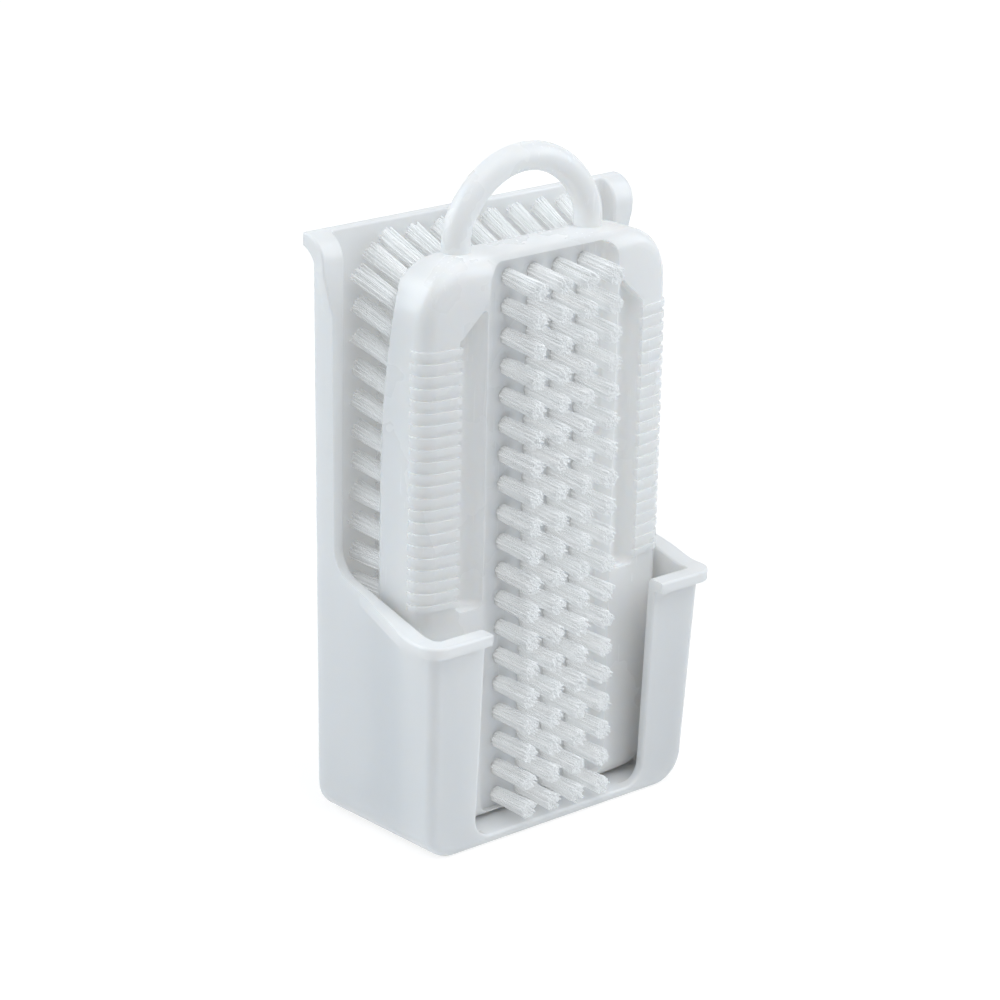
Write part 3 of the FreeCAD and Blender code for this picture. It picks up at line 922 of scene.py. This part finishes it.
def between(low: float, high: float, share: float) -> float:
    """Take a value between two others.

    Args:
        low: The value at a share of 0.
        high: The value at a share of 1.
        share: The share of the way from one to the other.

    Returns:
        The value.
    """
    return low + (high - low) * share


# Sub-assemblies

@dataclass
class Brush:
    """The brush: its body, its two banks of tufts and their anchors."""

    lean: float = 1.28
    depth_in_holder_mm: ClassVar[float] = 5.3
    stand_y: float = (depth_in_holder_mm + FRAME_SHIFT_MM) * MM
    stand_z: float = 2.885 * MM
    banks: list[TuftBank] = field(default_factory=lambda: [
        FrontBank(columns=4, rows=19, half_spread=10.1 * MM, bottom=3.2 * MM, top=111.6 * MM,
                  length=10.2 * MM, filaments=56),
        RearBank(columns=10, rows=19, half_spread=28.8 * MM, bottom=5.0 * MM, top=113.0 * MM,
                 length=9.6 * MM, filaments=46)])

    def stand(self) -> Matrix:
        """Say how the brush leans back and stands in the holder.

        Returns:
            The step from the brush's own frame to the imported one.
        """
        turn = Matrix.Rotation(math.radians(-self.lean), 4, "X")
        return Matrix.Translation((0.0, self.stand_y, self.stand_z)) @ turn

    def build(self, nodes: dict[str, bpy.types.Object], effects: Effects) -> None:
        """Dress the body and the anchors and grow the tufts.

        Args:
            nodes: The frame's CAD nodes by name.
            effects: The shared node groups.
        """
        dress(nodes["brush_body"], BRUSH_PLASTIC.material(effects))
        steel = ANCHOR_STEEL.material(effects)
        tree = FilamentTree()
        nylon = BRISTLE_NYLON.material(effects)
        for bank in self.banks:
            for column in range(bank.columns):
                dress(nodes[f"{bank.bank.value}_anchors_column_{column + 1}"], steel)
            bank.build(tree, nylon, self.stand())


@dataclass
class Holder:
    """The open holder, one moulding."""

    node: str = "holder"

    def build(self, nodes: dict[str, bpy.types.Object], effects: Effects) -> None:
        """Dress the holder.

        Args:
            nodes: The frame's CAD nodes by name.
            effects: The shared node groups.
        """
        dress(nodes[self.node], HOLDER_PLASTIC.material(effects))


def dress(piece: bpy.types.Object, material: bpy.types.Material) -> None:
    """Give a CAD node its finish.

    Args:
        piece: The node's object.
        material: The finish.
    """
    for place in piece.material_slots:
        place.material = material
    LOG.info("%s: dressed in %s", piece.name, material.name)


# Studio

@dataclass(frozen=True)
class Softbox:
    """One square softbox that faces the object."""

    name: str
    azimuth: float
    elevation: float
    power: float
    size: float = 0.9
    colour: Triple = SIDE_LIGHT
    distance: float = 1.1

    def hang(self, target: Vector) -> None:
        """Hang the softbox.

        Args:
            target: The point that it faces.
        """
        lamp = bpy.data.lights.new(self.name, "AREA")
        lamp.energy = self.power
        lamp.size = self.size
        lamp.color = self.colour
        thing = bpy.data.objects.new(self.name, lamp)
        thing.location = target + outward(self.azimuth, self.elevation) * self.distance
        thing.rotation_mode = "QUATERNION"
        thing.rotation_quaternion = (target - thing.location).to_track_quat("-Z", "Y")
        bpy.context.scene.collection.objects.link(thing)


@dataclass
class Studio:
    """The pale floor, the soft light and the camera at the photograph's viewing angle."""

    camera_azimuth: float = -43.23
    camera_elevation: float = 19.28
    camera_roll: float = 2.20
    camera_distance: float = 712.2 * MM
    focal_length: float = 132.62
    sensor_width: float = 36.0
    clip_parts: float = 10.0
    camera_target: Vector = field(default_factory=lambda: Vector((-19.985, FRAME_SHIFT_MM, 73.53)) * MM)
    light_target: Vector = field(default_factory=lambda: Vector((0.0, 0.0, 60.0)) * MM)
    floor_half: float = 6.0
    floor_colour: Colour = (0.86, 0.87, 0.88, 1.0)
    floor_shadow_share: float = 0.3
    floor_glow: float = 0.8
    floor_glow_per_metre: float = 0.15
    sky_colour: Colour = (0.90, 0.96, 1.0, 1.0)
    sky_level: float = 0.03
    lamps: tuple[Softbox, ...] = (
        Softbox("right_softbox", azimuth=55.0, elevation=30.0, power=5.4),
        Softbox("left_softbox", azimuth=-135.0, elevation=30.0, power=7.8),
        Softbox("top_softbox", azimuth=10.0, elevation=80.0, power=4.0, colour=TOP_LIGHT),
        Softbox("front_top_softbox", azimuth=-20.0, elevation=55.0, power=3.4, colour=TOP_LIGHT),
    )

    def build(self) -> None:
        """Set up the floor, the world, the softboxes and the camera."""
        self.lay_floor()
        self.light_world()
        for lamp in self.lamps:
            lamp.hang(self.light_target)
        self.place_camera()
        bpy.context.scene.view_settings.view_transform = "Standard"
        LOG.info("studio: %d softboxes", len(self.lamps))

    def seen_directly(self, graph: Graph) -> bpy.types.NodeSocket:
        """Tell rays that show the background from rays that light the object.

        Args:
            graph: The graph of the floor's or the world's nodes.

        Returns:
            The socket that is 1 for camera, glossy and transmitted rays.
        """
        path = graph.add("ShaderNodeLightPath").outputs
        shown = graph.math("MAXIMUM", path["Is Camera Ray"], path["Is Glossy Ray"])
        return graph.math("MAXIMUM", shown, path["Is Transmission Ray"])

    def lay_floor(self) -> None:
        """Lay the pale floor, which keeps a light shadow."""
        half = self.floor_half
        mesh = bpy.data.meshes.new("floor")
        corners = [(-half, -half, 0), (half, -half, 0), (half, half, 0), (-half, half, 0)]
        mesh.from_pydata(corners, [], [tuple(range(len(corners)))])
        floor = bpy.data.objects.new("floor", mesh)
        bpy.context.scene.collection.objects.link(floor)
        material = bpy.data.materials.new("pale_floor")
        material.use_nodes = True
        graph = Graph(material.node_tree)
        material.node_tree.nodes.clear()
        lit = graph.add("ShaderNodeBsdfDiffuse")
        lit.inputs["Color"].default_value = self.floor_colour
        glow = graph.add("ShaderNodeEmission")
        away = graph.vector("LENGTH", graph.add("ShaderNodeTexCoord").outputs["Object"])
        graph.put(glow.inputs["Strength"], graph.math("MINIMUM", 1.0, graph.math(
            "MULTIPLY_ADD", away, self.floor_glow_per_metre, self.floor_glow)))
        shaded = graph.add("ShaderNodeBsdfDiffuse")
        shade = self.floor_shadow_share
        shaded.inputs["Color"].default_value = (shade, shade, shade, 1.0)
        shown = graph.add("ShaderNodeAddShader")
        graph.put(shown.inputs[0], shaded.outputs[0])
        graph.put(shown.inputs[1], glow.outputs[0])
        blend = graph.add("ShaderNodeMixShader")
        graph.put(blend.inputs[0], self.seen_directly(graph))
        graph.put(blend.inputs[1], lit.outputs[0])
        graph.put(blend.inputs[2], shown.outputs[0])
        graph.put(graph.add("ShaderNodeOutputMaterial").inputs["Surface"], blend.outputs[0])
        mesh.materials.append(material)

    def light_world(self) -> None:
        """Light the object from all round, and show white behind it."""
        world = bpy.data.worlds.new("studio_world")
        world.use_nodes = True
        bpy.context.scene.world = world
        graph = Graph(world.node_tree)
        world.node_tree.nodes.clear()
        sky = graph.add("ShaderNodeBackground")
        sky.inputs["Color"].default_value = self.sky_colour
        sky.inputs["Strength"].default_value = self.sky_level
        white = graph.add("ShaderNodeBackground")
        white.inputs["Color"].default_value = WHITE
        blend = graph.add("ShaderNodeMixShader")
        graph.put(blend.inputs[0], self.seen_directly(graph))
        graph.put(blend.inputs[1], sky.outputs[0])
        graph.put(blend.inputs[2], white.outputs[0])
        graph.put(graph.add("ShaderNodeOutputWorld").inputs["Surface"], blend.outputs[0])

    def place_camera(self) -> None:
        """Place the camera at the photograph's viewing angle."""
        data = bpy.data.cameras.new("camera")
        data.sensor_width = self.sensor_width
        data.lens = self.focal_length
        data.clip_start = self.camera_distance / self.clip_parts
        camera = bpy.data.objects.new("camera", data)
        back = outward(self.camera_azimuth, self.camera_elevation)
        right = Vector((0, 0, 1)).cross(back).normalized()
        frame = Matrix((right, back.cross(right), back)).transposed()
        roll = Matrix.Rotation(math.radians(self.camera_roll), 3, "Z")
        place = self.camera_target + back * self.camera_distance
        camera.matrix_world = Matrix.Translation(place) @ (frame @ roll).to_4x4()
        bpy.context.scene.collection.objects.link(camera)
        bpy.context.scene.camera = camera


def outward(azimuth: float, elevation: float) -> Vector:
    """Point from the object to a viewer.

    Args:
        azimuth: Degrees round the object, 0 in front of it and 90 to its right.
        elevation: Degrees above the horizon.

    Returns:
        The direction, of length 1.
    """
    round_angle, up_angle = math.radians(azimuth), math.radians(elevation)
    flat = math.cos(up_angle)
    return Vector((math.sin(round_angle) * flat, -math.cos(round_angle) * flat, math.sin(up_angle)))


def main() -> None:
    """Build every part of the scene in order."""
    logging.basicConfig(level=logging.INFO, format="%(name)s: %(message)s")
    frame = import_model()
    Studio().build()
    effects = Effects()
    Holder().build(frame["nodes"], effects)
    Brush().build(frame["nodes"], effects)


if __name__ == "__main__":
    main()
